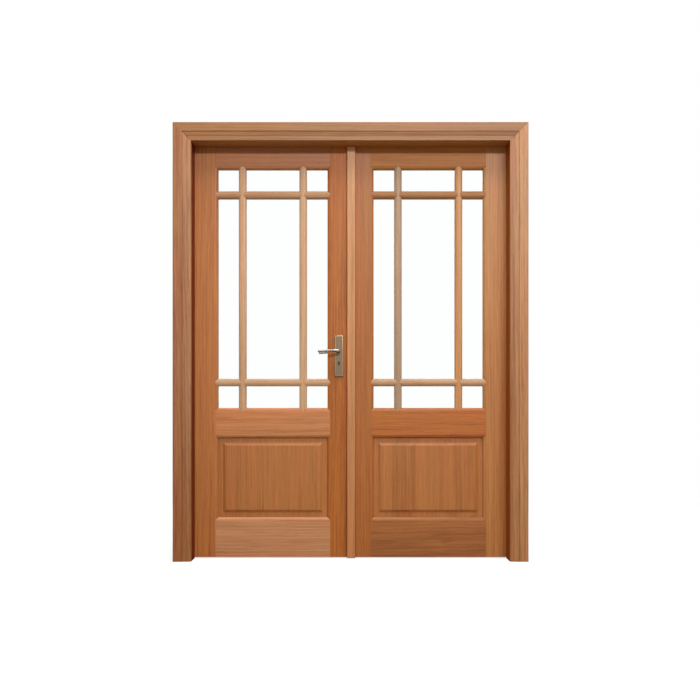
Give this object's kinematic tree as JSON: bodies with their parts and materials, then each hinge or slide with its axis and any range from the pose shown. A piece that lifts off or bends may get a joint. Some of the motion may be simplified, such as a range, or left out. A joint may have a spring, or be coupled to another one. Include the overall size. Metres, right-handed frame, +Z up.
{
  "type": "glazed double doors with frame",
  "caption": "Glazed timber double doors with margin-bar panes above raised panels, a lever lock and flush bolts, hung in a rebated lining with moulded architraves.",
  "frame": {"origin": "on the floor, half way across the set and half way through its whole depth, from the front architrave's face to the rear lever", "axes": "+Z up, +X along the wall to the right as seen from the front, +Y away from the front, the way the leaves swing"},
  "size_m": [1.7, 0.2002, 2.1],
  "materials": {
    "architrave_wood": "clear satin varnish over reddish brown softwood",
    "lining_wood": "clear satin varnish, darker reddish brown",
    "stile_wood": "clear satin varnish, upright grain",
    "rail_wood": "clear satin varnish, level grain",
    "panel_wood": "clear satin varnish, upright grain in glued staves",
    "bar_wood": "clear satin varnish, pale",
    "strip_wood": "clear satin varnish, palest",
    "clear_glass": "clear",
    "satin_nickel": "satin nickel plate",
    "bright_steel": "fine brushed",
    "bright_brass": "machined"
  },
  "bodies": {
    "frame": {"left_jamb": "lining_wood", "right_jamb": "lining_wood", "head_lining": "lining_wood", "bolt_keeper": "bright_steel", "front_architrave_left": "architrave_wood", "front_architrave_right": "architrave_wood", "front_architrave_head": "architrave_wood", "rear_architrave_left": "architrave_wood", "rear_architrave_right": "architrave_wood", "rear_architrave_head": "architrave_wood", "left_frame_hinge_top": "bright_steel", "left_frame_hinge_middle": "bright_steel", "left_frame_hinge_bottom": "bright_steel", "right_frame_hinge_top": "bright_steel", "right_frame_hinge_middle": "bright_steel", "right_frame_hinge_bottom": "bright_steel"},
    "active_leaf": {"left_meeting_stile": "stile_wood", "left_hinge_stile": "stile_wood", "left_bottom_rail": "rail_wood", "left_lock_rail": "rail_wood", "left_top_rail": "rail_wood", "left_upright_bar_inner": "bar_wood", "left_upright_bar_outer": "bar_wood", "left_level_bar_lower": "bar_wood", "left_level_bar_upper": "bar_wood", "left_glass": "clear_glass", "left_rear_grille": "bar_wood", "left_panel": "panel_wood", "left_leaf_hinge_top": "bright_steel", "left_leaf_hinge_middle": "bright_steel", "left_leaf_hinge_bottom": "bright_steel", "lock_case": "bright_steel", "front_plate": "satin_nickel", "rear_plate": "satin_nickel"},
    "levers": {"front_lever": "satin_nickel", "rear_lever": "satin_nickel", "spindle": "bright_steel"},
    "latch": {"latch_bolt": "bright_brass"},
    "deadbolt": {"dead_bolt": "bright_brass"},
    "passive_leaf": {"right_meeting_stile": "stile_wood", "right_hinge_stile": "stile_wood", "right_bottom_rail": "rail_wood", "right_lock_rail": "rail_wood", "right_top_rail": "rail_wood", "right_upright_bar_inner": "bar_wood", "right_upright_bar_outer": "bar_wood", "right_level_bar_lower": "bar_wood", "right_level_bar_upper": "bar_wood", "right_glass": "clear_glass", "right_rear_grille": "bar_wood", "right_panel": "panel_wood", "right_leaf_hinge_top": "bright_steel", "right_leaf_hinge_middle": "bright_steel", "right_leaf_hinge_bottom": "bright_steel", "cover_strip": "strip_wood", "strike_plate": "bright_steel", "top_bolt_case": "bright_steel", "bottom_bolt_case": "bright_steel"},
    "top_rod": {"top_bolt_rod": "bright_brass"},
    "bottom_rod": {"bottom_bolt_rod": "bright_brass"}
  },
  "joints": [
    {"name": "active_leaf_swing", "type": "hinge", "parent": "frame", "child": "active_leaf", "pos_m": [-0.7735, 0.05162, 0], "axis": [0, 0, 1], "range_deg": [0, 160]},
    {"name": "passive_leaf_swing", "type": "hinge", "parent": "frame", "child": "passive_leaf", "pos_m": [0.7735, 0.05162, 0], "axis": [0, 0, -1], "range_deg": [0, 160]},
    {"name": "lever_turn", "type": "hinge", "parent": "active_leaf", "child": "levers", "pos_m": [-0.05675, 0.02513, 1.013], "axis": [0, -1, 0], "range_deg": [0, 40], "stiffness_Nm_per_rad": 1.2, "springref_deg": -28.65},
    {"name": "latch_slide", "type": "slide", "parent": "active_leaf", "child": "latch", "axis": [-1, 0, 0], "range_m": [0, 0.011]},
    {"name": "dead_bolt_slide", "type": "slide", "parent": "active_leaf", "child": "deadbolt", "axis": [1, 0, 0], "range_m": [0, 0.014]},
    {"name": "top_rod_slide", "type": "slide", "parent": "passive_leaf", "child": "top_rod", "axis": [0, 0, 1], "range_m": [0, 0.02]},
    {"name": "bottom_rod_slide", "type": "slide", "parent": "passive_leaf", "child": "bottom_rod", "axis": [0, 0, -1], "range_m": [0, 0.02]}
  ],
  "couplings": [
    {"joint": "latch_slide", "follows": "lever_turn", "m_per_rad": 0.01575}
  ]
}
